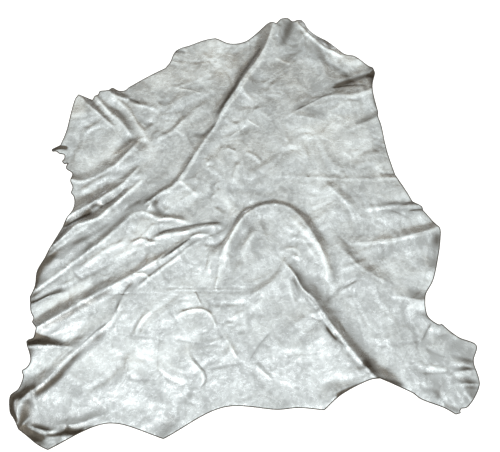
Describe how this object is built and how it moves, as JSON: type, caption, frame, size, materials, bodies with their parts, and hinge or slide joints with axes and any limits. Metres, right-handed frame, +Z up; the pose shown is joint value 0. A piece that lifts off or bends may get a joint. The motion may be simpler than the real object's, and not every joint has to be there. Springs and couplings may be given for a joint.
{
  "type": "leather hide",
  "caption": "Whole small leather hide with an uneven natural outline and soft storage folds, laid flat with the silver-finished grain side up.",
  "frame": {"origin": "middle of the hide's bounding box in plan, at the height of the surface that it lies on", "axes": "+Z up from the surface, grain side up; +Y towards the neck end of the skin; +X to the right as seen from above"},
  "size_m": [0.8278, 0.8442, 0.0102],
  "materials": {
    "leather": "silver foil finish on the grain side, satin, cloudy and finely creased; plain suede on the flesh side"
  },
  "bodies": {
    "root": {"hide": "leather"}
  },
  "joints": []
}
